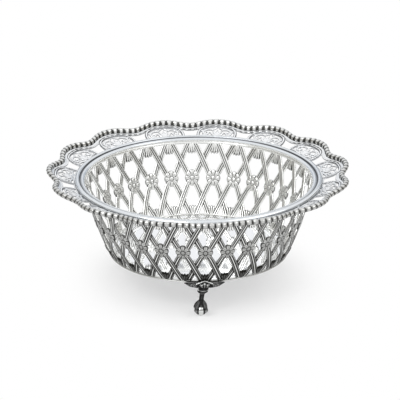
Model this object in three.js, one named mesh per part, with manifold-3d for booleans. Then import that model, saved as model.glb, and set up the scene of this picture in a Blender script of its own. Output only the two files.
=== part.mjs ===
// A pierced silver basket: a flared trellis bowl under a scalloped, pierced border, on three feet that are
// claws closed on balls. Millimetres, +Z up. The origin is on the standing plane, under the bowl's middle.
// Foot 1, one lobe of the border and one column of the trellis all point along -Y.

import * as THREE from 'three';
import { mergeVertices } from 'three/addons/utils/BufferGeometryUtils.js';
import Module from 'manifold-3d';

const wasm = await Module();
wasm.setup();

// Counts
const lobeCount = 15;
const columnsPerLobe = 2;
const gadroonsPerLobe = 10;
const footCount = 3;
const talonCount = 4;

// The seat between pieces that touch
const seatGap = 0.3;

// The bowl's wall, measured on its outer face
const wallBaseRadius = 84.1;
const wallTopRadius = 107.6;
const wallHeight = 67.9;
const wallThickness = 1.4;
const bellySwell = 9.3; // how far the profile's control point stands outside the base
const bellyRise = 13.9; // and how far above it

// The trellis sawn from the wall
const plainFootStrip = 0.5;
const plainNeckStrip = 4.8;
const barSpan = THREE.MathUtils.degToRad(3.6); // a bar's width, as an angle round the bowl
const barRun = THREE.MathUtils.degToRad(19.9); // how far a bar runs round the bowl from foot to neck
const barJog = THREE.MathUtils.degToRad(1.08); // a bar's sidestep under a rosette
const crossingLift = 0.6; // from the middle of the trellis up to the row where bars meet under the rosettes
const rosetteLift = 1.2; // and from there up to the middle of a rosette
const rosetteWidth = 13.8;
const rosetteHeight = 15.6;
const rosetteWaist = 4.1; // length of a rosette's side between the openings above and below its middle
const huskLength = 8.7; // the leaf fans that hang from the neck and stand on the foot strip

// The base band and the floor
const footHeight = 31.8; // standing plane to the underside of the base band
const baseBandHeight = 1.4;
const baseBandProud = 0.5; // how far the band stands outside the wall's foot
const baseLedgeWidth = 2.4;
const baseLedgeThickness = 0.6;
const baseSeatWidth = 2.1; // the part of the band's top that carries the wall
const floorThickness = 0.9;

// The moulding ring over the joint between wall and border
const ringOverlap = 1.5; // how far it reaches inside the wall's outer face
const ringWidth = 9.1;
const ringWireWidth = 3.8; // the flat-to-flat width of each of its two wires
const ringWireHeight = 2.1;
const ringWireSide = 1.05; // height of a wire's upright side
const ringGrooveHeight = 0.5;

// The pierced border
const borderWidth = 23.9; // from the moulding ring to the mean edge
const borderRise = 6.7;
const borderThickness = 1.2;
const scallopDepth = 3.15;
const scallopSharpness = 0.12; // share of a second, doubled wave that narrows the valleys
const archWidth = 34; // clear width of an arch, on its own reference circle
const archHeight = 15.2;
const archSquareness = 2.7; // exponent of the arch's superellipse
const archFoot = 1.3; // metal left between the openings and the moulding ring
const archBand = 2.9; // width of the engraved band round an arch
const spandrelMargin = 3.3; // metal between the spandrel openings and the gadrooned edge

// The openings between the leaves of an arch: length, width and bend, and the middle's place in the arch
const crownOpening = { length: 17.6, width: 2.6, bend: 2.1, aside: 0, rise: 0.765, tilt: 0 };
const flankOpening = { length: 8.6, width: 3.9, bend: 0.7, aside: 0.33, rise: 0.58, tilt: -0.95 };
const footOpening = { length: 11.5, width: 3.6, bend: 0.5, aside: 0.26, rise: 0.2, tilt: 0.12 };

// The gadrooned edge
const gadroonWidth = 5.4;
const gadroonHeight = 2.9;
const gadroonDrop = 1.8;
const gadroonDepth = 0.85; // how deep the furrows between gadroons are
const gadroonCrest = 2.4; // from the outer edge in to the gadroons' highest line
const gadroonShoulder = 0.75; // height of a gadroon's outermost line
const gadroonHeel = 1.2; // from the outer edge in to the lip that hangs below the rim
const edgeRebate = 2.2; // how much of the edge hangs outside the border's rim

// The feet
const crestWidth = 37;
const crestThickness = 1.8;
const crestDepth = 4.5; // how far the apron hangs below the base band
const pedimentWidth = 14.5;
const pedimentHeight = 2.05; // above the base band's top
const pedimentMoulding = 1.5;
const pedimentProud = 1; // how far the moulding stands in front of the crest
const crestTopInset = 1.2; // from the base band's top down to the top of the wings
const legBlockWidth = 9.8;
const legBlockDepth = 7.4;
const legBlockHeight = 5.4;
const legLean = 3.4; // sideways sway of the casting from its head to its ball
const legKick = 1.2; // outward sway
const legInset = 1.6; // from the wall's foot in to the middle of the casting's head
const shaftRadius = 2.4;
const shaftHead = 4; // radius of the shaft where it leaves the block
const collarRadius = 4.1;
const collarHeight = 1.5;
const collarDrop = 1.9; // from the block down to the collar
const ballRadius = 5.3;
const ballFlat = 0.4; // depth of the flat worn under the ball
const talonRadius = 1.9;
const palmRise = 9.2; // from the ball's middle up to the wrist
const palmWidth = 0.8; // radius of the palm where it is widest, in ball radii
const palmTip = 0.5; // and where it meets the ball

// A talon's line, in ball radii out from the middle of the ball and up from it
const talonLine = [
  [0.2, 1.65],
  [0.72, 1.2],
  [1.08, 0.7],
  [1.27, 0.25],
  [1.1, -0.08],
];

// Levels and radii that follow
const columnCount = lobeCount * columnsPerLobe;
const columnPitch = (2 * Math.PI) / columnCount;
const lobePitch = (2 * Math.PI) / lobeCount;
const frontAngle = -Math.PI / 2;
const baseBandTop = footHeight + baseBandHeight;
const wallFootLevel = baseBandTop + seatGap;
const wallTopLevel = wallFootLevel + wallHeight;
const ringLevel = wallTopLevel + seatGap;
const ringInnerRadius = wallTopRadius - ringOverlap;
const ringOuterRadius = ringInnerRadius + ringWidth;
const rimRadius = ringOuterRadius + borderWidth;

// Mesh helpers

// Welds a geometry's corners, turns its faces outward and gives it normals.
function welded(geometry) {
  const bare = geometry.index ? geometry.toNonIndexed() : geometry;
  for (const name of Object.keys(bare.attributes)) {
    if (name !== 'position') bare.deleteAttribute(name);
  }
  const solid = mergeVertices(bare, 1e-4);
  const { position } = solid.attributes;
  const corner = (i) => new THREE.Vector3().fromBufferAttribute(position, solid.index.array[i]);
  const kept = [];
  let volume = 0;
  for (let i = 0; i < solid.index.count; i += 3) {
    const [a, b, c] = solid.index.array.slice(i, i + 3);
    if (a === b || b === c || c === a) continue;
    kept.push(a, b, c);
    volume += corner(i).dot(corner(i + 1).cross(corner(i + 2)));
  }
  solid.setIndex(volume > 0 ? kept : kept.reverse());
  solid.computeVertexNormals();
  return solid;
}

// Builds a geometry from a flat list of triangle corners.
function fromCorners(corners) {
  const geometry = new THREE.BufferGeometry();
  geometry.setAttribute('position', new THREE.Float32BufferAttribute(corners.flatMap((p) => p.toArray()), 3));
  return welded(geometry);
}

function toManifold(geometry) {
  const solid = welded(geometry);
  return new wasm.Manifold(
    new wasm.Mesh({
      numProp: 3,
      vertProperties: new Float32Array(solid.attributes.position.array),
      triVerts: new Uint32Array(solid.index.array),
    }),
  );
}

function fromManifold(manifold) {
  const mesh = manifold.getMesh();
  const geometry = new THREE.BufferGeometry();
  geometry.setAttribute('position', new THREE.BufferAttribute(mesh.vertProperties.slice(), 3));
  geometry.setIndex(Array.from(mesh.triVerts));
  return welded(geometry);
}

// A closed profile of [radius, height] pairs turned about the Z axis.
function turned(profile, segments) {
  const points = profile.map(([radius, height]) => new THREE.Vector2(radius, height));
  const onAxis = profile[0][0] === 0 && profile[profile.length - 1][0] === 0;
  if (!onAxis) points.push(points[0].clone());
  const geometry = new THREE.LatheGeometry(points, segments);
  geometry.rotateX(Math.PI / 2);
  return welded(geometry);
}

// A ring lofted through closed sections, the last joined to the first.
function ringThrough(sections) {
  const corners = [];
  sections.forEach((section, i) => {
    const next = sections[(i + 1) % sections.length];
    section.forEach((point, j) => {
      const k = (j + 1) % section.length;
      corners.push(point, next[j], next[k], point, next[k], section[k]);
    });
  });
  return fromCorners(corners);
}

// A tube lofted through closed sections, with flat ends.
function tubeThrough(sections) {
  const corners = [];
  sections.slice(1).forEach((section, i) => {
    section.forEach((point, j) => {
      const k = (j + 1) % section.length;
      corners.push(sections[i][j], point, section[k], sections[i][j], section[k], sections[i][k]);
    });
  });
  const [first, last] = [sections[0], sections[sections.length - 1]];
  for (let j = 1; j < first.length - 1; j += 1) {
    corners.push(first[0], first[j], first[j + 1]);
    corners.push(last[0], last[j + 1], last[j]);
  }
  return fromCorners(corners);
}

// A pierced cell in its flat chart, given two faces and sawn edges. place(u, v, face) lays a chart point on
// face 1 or face 0. Edges that lie on a seam between neighbouring cells get no wall.
function piercedCell(outline, holes, place, onSeam) {
  const wound = (loop, clockwise) => {
    const kept = THREE.ShapeUtils.isClockWise(loop) === clockwise;
    return kept ? loop : loop.slice().reverse();
  };
  const loops = [wound(outline, false), ...holes.map((hole) => wound(hole, true))];
  const points = loops.flat();
  const corners = [];
  for (const [a, b, c] of THREE.ShapeUtils.triangulateShape(loops[0], loops.slice(1))) {
    corners.push(...[a, b, c].map((i) => place(points[i].x, points[i].y, 1)));
    corners.push(...[c, b, a].map((i) => place(points[i].x, points[i].y, 0)));
  }
  for (const loop of loops) {
    loop.forEach((p, i) => {
      const q = loop[(i + 1) % loop.length];
      if (onSeam(p, q)) return;
      const [p1, q1] = [place(p.x, p.y, 1), place(q.x, q.y, 1)];
      const [p0, q0] = [place(p.x, p.y, 0), place(q.x, q.y, 0)];
      corners.push(q1, p1, p0, q1, p0, q0);
    });
  }
  return corners;
}

// Repeats a pierced cell round the axis into one closed sheet.
function piercedRing(outline, holes, count, place) {
  const half = Math.PI / count;
  const onSeam = (p, q) => Math.abs(Math.abs(p.x) - half) < 1e-9 && Math.abs(p.x - q.x) < 1e-9;
  const corners = [];
  for (let i = 0; i < count; i += 1) {
    const turn = frontAngle + i * 2 * half;
    corners.push(...piercedCell(outline, holes, (u, v, face) => place(turn + u, v, face), onSeam));
  }
  return fromCorners(corners);
}

function polar(radius, angle, height) {
  return new THREE.Vector3(radius * Math.cos(angle), radius * Math.sin(angle), height);
}

// Chart points on the right of a cell, mirrored to the left and joined into one loop.
function mirrored(rightSide) {
  const left = rightSide
    .filter((p) => p.x > 1e-9)
    .map((p) => new THREE.Vector2(-p.x, p.y))
    .reverse();
  return [...rightSide, ...left];
}

// The wall

const wallProfile = new THREE.QuadraticBezierCurve(
  new THREE.Vector2(wallBaseRadius, wallFootLevel),
  new THREE.Vector2(wallBaseRadius + bellySwell, wallFootLevel + bellyRise),
  new THREE.Vector2(wallTopRadius, wallTopLevel),
);
const wallLength = wallProfile.getLength();
const trellisHeight = wallLength - plainFootStrip - plainNeckStrip;

// A point on the wall: distance up the profile, angle round the bowl, outer face 1 or inner face 0.
function wallPoint(angle, along, face) {
  const share = THREE.MathUtils.clamp(along / wallLength, 0, 1);
  const point = wallProfile.getPointAt(share);
  const tangent = wallProfile.getTangentAt(share);
  const inset = face === 1 ? 0 : wallThickness;
  const atRim = share === 0 || share === 1;
  // The two rims are cut level, so that they sit flat under the moulding ring and on the base band
  const radius = point.x - (atRim ? inset / tangent.y : tangent.y * inset);
  return polar(radius, angle, point.y + (atRim ? 0 : tangent.x * inset));
}

// Radius of the wall's outer face at a height.
function wallRadiusAt(height) {
  let [low, high] = [0, 1];
  const halvings = 40;
  for (let i = 0; i < halvings; i += 1) {
    const share = (low + high) / 2;
    if (wallProfile.getPoint(share).y < height) low = share;
    else high = share;
  }
  return wallProfile.getPoint(high).x;
}

function wallGeometry() {
  const half = columnPitch / 2;
  const middle = plainFootStrip + trellisHeight / 2 + crossingLift;
  const slope = (barRun - 2 * barJog) / trellisHeight; // bar's angle per millimetre of rise
  const barHalf = barSpan / 2;
  const crossingRise = (half - barJog) / slope; // rise from a rosette to the next crossing of bars
  const tipRise = barHalf / slope; // from a crossing to the tips of the openings above and below it
  const rosetteHalf = rosetteWidth / 2 / wallProfile.getPointAt((middle + rosetteLift) / wallLength).x;
  const barEdge = (rise, side) => barJog + slope * rise + side * barHalf;
  const chart = (u, rise) => new THREE.Vector2(u, middle + rise);

  // Distances from the row of crossings, up (1) or down (-1)
  const topRise = (up) => trellisHeight / 2 - up * crossingLift;
  const huskRise = (up) => topRise(up) - huskLength;
  const rosetteRise = (up, length) => length / 2 + up * rosetteLift;

  // The big six-sided opening between a rosette and a husk, above (1) or below (-1) the rosette
  const hexagon = (up) =>
    mirrored([
      chart(barEdge(rosetteRise(up, rosetteHeight), -1), up * rosetteRise(up, rosetteHeight)),
      chart(half - barHalf, up * crossingRise),
      chart(2 * half - barEdge(huskRise(up), 1), up * huskRise(up)),
    ]);

  // The outline of a column, which takes in half of each opening it shares with its neighbour
  const sharedOpenings = (up) => [
    chart(half, up * topRise(up)),
    chart(2 * half - barEdge(topRise(up), -1), up * topRise(up)),
    chart(half, up * (crossingRise + tipRise)),
    chart(half, up * (crossingRise - tipRise)),
    chart(rosetteHalf, up * rosetteRise(up, rosetteWaist)),
  ];
  const right = [
    new THREE.Vector2(0, 0),
    new THREE.Vector2(half, 0),
    ...sharedOpenings(-1),
    ...sharedOpenings(1).reverse(),
    new THREE.Vector2(half, wallLength),
    new THREE.Vector2(0, wallLength),
  ];
  return piercedRing(mirrored(right), [hexagon(1), hexagon(-1)], columnCount, wallPoint);
}

// The base band and the floor

function baseBandGeometry() {
  const outer = wallBaseRadius + baseBandProud;
  const seatInner = wallBaseRadius - baseSeatWidth;
  const ledgeTop = footHeight + baseLedgeThickness;
  return turned(
    [
      [seatInner - baseLedgeWidth, footHeight],
      [outer, footHeight],
      [outer, baseBandTop],
      [seatInner, baseBandTop],
      [seatInner, ledgeTop],
      [seatInner - baseLedgeWidth, ledgeTop],
    ],
    columnCount * 2,
  );
}

function floorGeometry() {
  const radius = wallBaseRadius - baseSeatWidth - seatGap;
  const low = footHeight + baseLedgeThickness + seatGap;
  const top = low + floorThickness;
  return turned([[0, low], [radius, low], [radius, top], [0, top]], columnCount * 2);
}

// The moulding ring: two round wires with a groove between them

function mouldingRingGeometry() {
  const top = ringLevel + ringWireHeight;
  const side = ringLevel + ringWireSide;
  const groove = ringLevel + ringGrooveHeight;
  return turned(
    [
      [ringInnerRadius, ringLevel],
      [ringOuterRadius, ringLevel],
      [ringOuterRadius, side],
      [ringOuterRadius - ringWireWidth / 2, top],
      [(ringInnerRadius + ringOuterRadius) / 2, groove],
      [ringInnerRadius + ringWireWidth / 2, top],
      [ringInnerRadius, side],
    ],
    columnCount * 2,
  );
}

// The pierced border

// The scalloped outline, with a lobe's peak at angle 0.
function edgeRadius(angle) {
  const wave = Math.cos(lobeCount * angle) - scallopSharpness * Math.cos(2 * lobeCount * angle);
  return rimRadius + scallopDepth * wave;
}

// Height of the border's upper face, a shallow cone that meets the moulding ring at the ring's outer edge.
function borderTop(radius) {
  return wallTopLevel + (borderRise * (radius - ringOuterRadius)) / borderWidth;
}

// The border's inner edge, which stands off the wall by the seat gap at the level of the border's upper face.
function borderInnerRadius() {
  let radius = wallTopRadius;
  const rounds = 8;
  for (let i = 0; i < rounds; i += 1) radius = wallRadiusAt(borderTop(radius)) + seatGap;
  return radius;
}

// Face 1 is the underside, because the chart's second axis points away from the bowl.
function borderPoint(angle, radius, face) {
  return polar(radius, angle, borderTop(radius) - (face === 1 ? borderThickness : 0));
}

// A pointed leaf-shaped opening with a bent spine, in millimetres on the lobe: x round the bowl, y outward
// from the moulding ring. It has its two tips and two points on each edge.
function leafOpening({ length, width, bend, aside, rise, tilt }) {
  const x = aside * archWidth;
  const y = archFoot + rise * archHeight;
  const edgePoints = 3;
  const outline = [];
  for (const side of [1, -1]) {
    for (let i = 0; i < edgePoints; i += 1) {
      const t = side * (1 - (2 * i) / edgePoints);
      const swell = Math.sqrt(1 - t * t);
      const along = (t * length) / 2;
      const across = bend * (1 - t * t) + (side * swell * width) / 2;
      outline.push(
        new THREE.Vector2(
          x + along * Math.cos(tilt) - across * Math.sin(tilt),
          y + along * Math.sin(tilt) + across * Math.cos(tilt),
        ),
      );
    }
  }
  return outline;
}

function borderGeometry() {
  const half = lobePitch / 2;
  const archRadius = ringOuterRadius + archHeight / 2;
  const toChart = (side) => (p) => new THREE.Vector2((side * p.x) / archRadius, ringOuterRadius + p.y);

  // One opening under the crown, and two on each flank
  const holes = [leafOpening(crownOpening).map(toChart(1))];
  for (const side of [1, -1]) {
    holes.push(leafOpening(flankOpening).map(toChart(side)));
    holes.push(leafOpening(footOpening).map(toChart(side)));
  }

  // Outer line of an arch at a height above the ring, as an angle
  const archLine = (height) => {
    const share = Math.min(1, height / (archHeight + archBand));
    const reach = archWidth / 2 + archBand;
    return (reach * (1 - share ** archSquareness) ** (1 / archSquareness)) / archRadius;
  };
  const spandrelTop = rimRadius - scallopDepth * (1 + scallopSharpness) - gadroonWidth - spandrelMargin;
  const spandrelSide = (share) => {
    const radius = ringOuterRadius + archFoot + share * (spandrelTop - ringOuterRadius - archFoot);
    return new THREE.Vector2(archLine(radius - ringOuterRadius), radius);
  };
  const right = [];
  // The inner edge has its corners at the same angles as the wall's rim
  const innerRadius = borderInnerRadius();
  for (let i = 0; i <= columnsPerLobe; i += 1) {
    right.push(new THREE.Vector2((half * i) / columnsPerLobe, innerRadius));
  }
  right.push(new THREE.Vector2(half, ringOuterRadius + archFoot));
  const shoulder = 0.6; // share of the opening's height where its side bends most
  right.push(spandrelSide(0), spandrelSide(shoulder), spandrelSide(1));
  right.push(new THREE.Vector2(half, spandrelTop));
  const outerSteps = gadroonsPerLobe / 2;
  for (let i = outerSteps; i >= 0; i -= 1) {
    const angle = (half * i) / outerSteps;
    right.push(new THREE.Vector2(angle, edgeRadius(angle) - edgeRebate - seatGap));
  }
  return piercedRing(mirrored(right), holes, lobeCount, borderPoint);
}

// The gadrooned edge: a rebated wire that sits on the border's rim, furrowed between gadroons

function gadroonEdgeGeometry() {
  const stations = lobeCount * gadroonsPerLobe * 2;
  const sections = [];
  for (let i = 0; i < stations; i += 1) {
    const angle = (i * 2 * Math.PI) / stations;
    const outer = edgeRadius(angle);
    const level = borderTop(outer);
    const furrow = i % 2 === 0 ? gadroonDepth : 0;
    const seat = (inward) => polar(outer - inward, frontAngle + angle, borderTop(outer - inward) + seatGap);
    const skin = (inward, rise) => polar(outer - inward, frontAngle + angle, level + rise);
    sections.push([
      seat(gadroonWidth),
      skin(gadroonCrest + furrow / 2, gadroonHeight - furrow),
      skin(furrow, gadroonShoulder),
      skin(gadroonHeel, -gadroonDrop),
      seat(edgeRebate),
    ]);
  }
  return ringThrough(sections);
}

// The feet, drawn with x round the bowl, y outward and z up, then turned to their places

const crestInnerRadius = wallBaseRadius + baseBandProud + seatGap;

// Bends a flat drawing round the bowl. Above the base band it leans out with the wall.
function crestPoint(x, z, depth) {
  const lean = Math.max(0, wallRadiusAt(z) + seatGap - crestInnerRadius);
  const radius = crestInnerRadius + lean + depth;
  const angle = x / crestInnerRadius;
  return new THREE.Vector3(radius * Math.sin(angle), radius * Math.cos(angle), z);
}

// A strip between two heights that vary along x, bent round the bowl and closed all over.
function bentStrip(reach, steps, low, high, back, front) {
  const sections = Array.from({ length: steps + 1 }, (_, i) => {
    const x = reach * ((2 * i) / steps - 1);
    const [bottom, top] = [low(Math.abs(x)), high(Math.abs(x))];
    const loop = [[bottom, back], [top, back], [top, front], [bottom, front]];
    return loop.map(([z, depth]) => crestPoint(x, z, depth));
  });
  return tubeThrough(sections);
}

// The crest soldered over each foot: an apron under the base band and a small pediment over the leg
function crestGeometry() {
  const wing = crestWidth / 2;
  const eave = pedimentWidth / 2;
  const top = baseBandTop - crestTopInset;
  const peak = baseBandTop + pedimentHeight;
  const bottomCurve = 3.5; // exponent of the apron's lower outline
  const roof = (x) => peak - ((peak - top) * x) / eave;
  const apronTop = (x) => Math.max(roof(x), top);
  const apronBottom = (x) => footHeight - crestDepth * (1 - (x / wing) ** bottomCurve);
  const wingSteps = 14;
  const roofSteps = 4;
  const plate = bentStrip(wing, wingSteps, apronBottom, apronTop, 0, crestThickness);
  const overhang = 0.3;
  const moulding = bentStrip(
    eave + overhang,
    roofSteps,
    (x) => roof(x) - pedimentMoulding,
    (x) => roof(x) + overhang,
    overhang,
    crestThickness + pedimentProud,
  );
  return fromManifold(toManifold(plate).add(toManifold(moulding)));
}

// A leg's middle leans to one side and a little outward on its way down from the head.
const headLevel = footHeight - seatGap;
const legRadius = wallBaseRadius - legInset;
function legShift(z) {
  const share = THREE.MathUtils.clamp((headLevel - z) / (headLevel - ballRadius), 0, 1);
  return new THREE.Vector3(legLean * Math.sin((share * Math.PI) / 2), legRadius + legKick * share ** 2, 0);
}

function leaned(geometry) {
  const position = geometry.attributes.position;
  for (let i = 0; i < position.count; i += 1) {
    const shift = legShift(position.getZ(i));
    position.setXYZ(i, position.getX(i) + shift.x, position.getY(i) + shift.y, position.getZ(i));
  }
  return welded(geometry);
}

// A tapering talon that leaves the shaft, knuckles over the ball's shoulder and grips its side.
function talonGeometry(turn) {
  const ballLevel = ballRadius - ballFlat;
  const spine = talonLine.map(([out, up]) => [out * ballRadius, ballLevel + up * ballRadius]);
  const sides = 6;
  const taper = 0.5; // how much of its radius a talon loses by its tip
  const rings = spine.map(([out, level], i) => {
    const before = spine[Math.max(0, i - 1)];
    const after = spine[Math.min(spine.length - 1, i + 1)];
    const heading = Math.atan2(after[1] - before[1], after[0] - before[0]);
    const radius = talonRadius * (1 - taper * (i / (spine.length - 1)) ** 2);
    return Array.from({ length: sides }, (_, j) => {
      const around = (j * 2 * Math.PI) / sides;
      const lift = radius * Math.cos(around);
      const aside = radius * Math.sin(around);
      const reach = out - lift * Math.sin(heading);
      return new THREE.Vector3(
        reach * Math.cos(turn) - aside * Math.sin(turn),
        reach * Math.sin(turn) + aside * Math.cos(turn),
        level + lift * Math.cos(heading),
      );
    });
  });
  return tubeThrough(rings);
}

// The cast leg: a block under the base band, a collar, a slender shaft and a claw closed on a ball
function legGeometry() {
  const ballLevel = ballRadius - ballFlat;
  const wrist = ballLevel + palmRise;
  const palmLow = ballLevel + ballRadius / 2;
  const blockLow = headLevel - legBlockHeight;
  const collarTop = blockLow - collarDrop;
  const collarLow = collarTop - collarHeight;
  const shaftTop = collarLow - (collarRadius - shaftRadius);
  const sunk = 0.2; // how far the shaft's head is let into the block
  const headReach = 1; // how far below the block the head keeps its width
  const roundSides = 8;
  const ballBands = 6;
  const shaft = turned(
    [
      [0, blockLow + sunk],
      [shaftHead, blockLow + sunk],
      [shaftHead, blockLow - headReach],
      [collarRadius, collarTop],
      [collarRadius, collarLow],
      [shaftRadius, shaftTop],
      [shaftRadius, wrist],
      [ballRadius * palmWidth, (wrist + palmLow) / 2],
      [ballRadius * palmTip, palmLow],
      [0, palmLow],
    ],
    roundSides,
  );
  const block = new THREE.BoxGeometry(legBlockWidth, legBlockDepth, legBlockHeight);
  const blockFront = crestInnerRadius - 2 * seatGap;
  block.translate(0, blockFront - legBlockDepth / 2, headLevel - legBlockHeight / 2);
  const ball = new THREE.SphereGeometry(ballRadius, roundSides, ballBands);
  ball.rotateX(Math.PI / 2);
  ball.translate(0, 0, ballLevel);
  let casting = toManifold(leaned(shaft)).add(toManifold(block)).add(toManifold(leaned(ball)));
  for (let i = 0; i < talonCount; i += 1) {
    casting = casting.add(toManifold(leaned(talonGeometry(((i + 0.5) * 2 * Math.PI) / talonCount))));
  }
  // Everything below the standing plane is dressed off, which leaves the flat under the ball
  const below = new THREE.BoxGeometry(legBlockWidth * 3, legBlockWidth * 3, legBlockWidth);
  below.translate(legLean, legRadius, -legBlockWidth / 2);
  return fromManifold(casting.subtract(toManifold(below)));
}

// The assembly

const brightSilver = { color: 0xd8dadc, metalness: 1, roughness: 0.18 };
const chasedSilver = { color: 0xc4c6c6, metalness: 1, roughness: 0.28 };
const darkSilver = { color: 0x6f6f6c, metalness: 1, roughness: 0.38 };

const basket = new THREE.Group();

function addPiece(parent, name, geometry, finish) {
  const mesh = new THREE.Mesh(geometry, new THREE.MeshStandardMaterial(finish));
  mesh.name = name;
  parent.add(mesh);
}

addPiece(basket, 'basket_wall', wallGeometry(), chasedSilver);
addPiece(basket, 'base_band', baseBandGeometry(), chasedSilver);
addPiece(basket, 'floor_plate', floorGeometry(), brightSilver);
addPiece(basket, 'moulding_ring', mouldingRingGeometry(), brightSilver);
addPiece(basket, 'border', borderGeometry(), brightSilver);
addPiece(basket, 'gadroon_edge', gadroonEdgeGeometry(), chasedSilver);

for (let i = 0; i < footCount; i += 1) {
  // Turns the drawing's outward +Y to the foot's place, mirror-free, so that x runs round the bowl
  const place = new THREE.Group();
  place.rotation.z = frontAngle - Math.PI / 2 + (i * 2 * Math.PI) / footCount;
  addPiece(place, `foot_crest_${i + 1}`, crestGeometry(), darkSilver);
  addPiece(place, `foot_leg_${i + 1}`, legGeometry(), darkSilver);
  basket.add(place);
}

export default basket;
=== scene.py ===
# The looks of a pierced silver basket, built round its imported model.
# Shapes are worked out in millimetres in the model's own frame, and their meshes are in metres.

import math

import bmesh
import bpy
import numpy as np
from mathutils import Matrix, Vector


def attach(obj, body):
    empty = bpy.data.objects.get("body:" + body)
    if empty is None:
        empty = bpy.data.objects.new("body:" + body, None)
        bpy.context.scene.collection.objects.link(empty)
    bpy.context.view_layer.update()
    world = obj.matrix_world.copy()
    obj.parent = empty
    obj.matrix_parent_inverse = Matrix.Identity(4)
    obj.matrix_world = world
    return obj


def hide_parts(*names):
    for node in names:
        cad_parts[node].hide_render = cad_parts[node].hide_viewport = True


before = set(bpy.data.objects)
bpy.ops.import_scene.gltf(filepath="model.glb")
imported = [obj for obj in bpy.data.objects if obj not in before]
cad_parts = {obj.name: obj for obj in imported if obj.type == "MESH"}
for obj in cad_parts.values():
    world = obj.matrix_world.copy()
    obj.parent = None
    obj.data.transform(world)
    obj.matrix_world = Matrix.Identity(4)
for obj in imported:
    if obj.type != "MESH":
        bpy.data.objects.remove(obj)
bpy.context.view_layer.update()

MM = 0.001
BODY = "root"
FULL_TURN = 2 * math.pi
FRONT = -math.pi / 2  # the angle of foot 1, of a lobe's peak and of a trellis column
SEAM_GAP = 0.3  # stands for the solder between two pieces

# Counts
LOBES = 15
COLUMNS = 30
GADROONS = 150
FEET = 3
TALONS = 4
ROUND_STEPS = 8 * COLUMNS  # steps round the bowl in plain turned pieces
COLUMN_PITCH = FULL_TURN / COLUMNS
COLUMN_ANGLES = [FRONT + column * COLUMN_PITCH for column in range(COLUMNS)]
LOBE_PITCH = FULL_TURN / LOBES

# The wall's outer face, which is a curve of three control points turned about Z
FOOT_LEVEL = 33.5
TOP_LEVEL = 101.4
BASE_RADIUS = 84.1
TOP_RADIUS = 107.6
BELLY_SWELL = 9.3
BELLY_RISE = 13.9
WALL_THICKNESS = 1.4

# Darkening on the wall: its tone at the foot, how much of it fades, and over what share of the way up.
# On the outer face it is oxide and painted shade, the shade standing for the shaded floor that the face
# reflects near the foot. On the inner face it is a darker tone low down
OUTER_SHADE_AND_OXIDE = 0.58
OUTER_FADE = 0.4
OUTER_REACH = 0.6
INNER_DARKENING = 0.2
INNER_REACH = 0.28

# The trellis, with angles round the bowl. It is laid out up to a strip of NECK_STRIP, and its bars and
# leaf fans run on to a plain one of NECK_WIRE
FOOT_STRIP = 0.5
NECK_STRIP = 4.8
NECK_WIRE = 3.4
NECK_LINE = 1.6  # from the wall's top down to the line cut round the neck
BAR_WIDTH = 6.1
BAR_RUN = math.radians(19.9)
BAR_JOG = math.radians(1.08)
JOG_BLEND = 3.5
CROSSING_LIFT = 0.6  # of the bars' crossings over the middle of the trellis

# The bars. A reed is drawn as places across it from -1 to 1 and their tones, dark in the furrows
OUTER_REED = ((-1.0, 1.0), (-0.55, 1.0), (-0.33, 0.0), (0.0, 0.0), (0.33, 0.0), (0.55, 1.0))
INNER_REED = ((-1.0, 1.0), (-0.74, 1.0), (-0.46, 0.0), (0.0, 0.0), (0.46, 0.0), (0.74, 1.0))
REED_TOP = 0.74
REED_CUT = 0.5
EDGE_SHADE = 0.75  # painted shade on the edges of the bars' outer face
SIDE_REED_TONE = 0.42  # on the outer two of its three reeds
BAR_SHADE_AND_OXIDE = 0.45  # share of the wall's oxide and painted shade that it takes
BAR_STATIONS = 57
BAR_START = 0.05  # from the wall's foot up to the bars' lower ends
BAR_OVERLAP = 0.6  # how far their upper ends run into the strip at the neck
CROSSING_BLEND = 1.4  # distance over which a bar dips before it passes below another
CROSSING_DIP = 0.62  # share of its height that it loses there
CROSSING_SHADE = 0.65

# The rosettes, with places as shares of the way from the middle to the rim. The bed holds places and
# heights over the middle of the sheet
ROSETTE_LIFT = 1.2  # of its middle over the bars' crossing
ROSETTE_WIDTH = 13.8
ROSETTE_HEIGHT = 15.6
ROSETTE_STEPS = 64
ROSETTE_RINGS = (0.0, 0.12, 0.2, 0.27, 0.35, 0.46, 0.6, 0.78, 0.92, 1.0)
ROSETTE_BED = ((0, 0.95), (0.24, 0.9), (0.35, 1.05), (0.6, 1.3), (0.9, 1.15), (1.0, 0.55))
PETALS = 8
PETAL_TIP = 0.09  # how far a petal's tip stands beyond the clefts
CLEFT_DEPTH = 0.4
CLEFT_TONE = 0.85
VEIN_DEPTH = 0.16
VEIN_TONE = 0.5
BOSS_REACH = 0.24
BOSS_HEIGHT = 0.55
SEED_PLACE = 0.3
SEED_WIDTH = 0.07
SEED_TONE = 0.9

# The leaf fans
HUSK_LENGTH = 8.7
HUSK_LOBES = 3
HUSK_NOTCH = 0.24  # share of its length that a fan loses between its lobes
HUSK_RIDGE = 0.36  # height of a lobe's middle over the crown
HUSK_ROOT = 3.4
HUSK_SPREAD = math.radians(19)

# The base band and the floor
FOOT_HEIGHT = 31.8
BAND_TOP = 33.2
BAND_RADIUS = 84.6
BAND_SEAT = 82.0  # inner radius of the part that carries the wall
LEDGE_RADIUS = 79.6
LEDGE_HEIGHT = 0.6
FLOOR_RADIUS = 81.7
FLOOR_LOW = 32.7
FLOOR_TOP = 33.6
FLOOR_LINE = 9.4  # from the floor's edge in to a fine line turned in it

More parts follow.
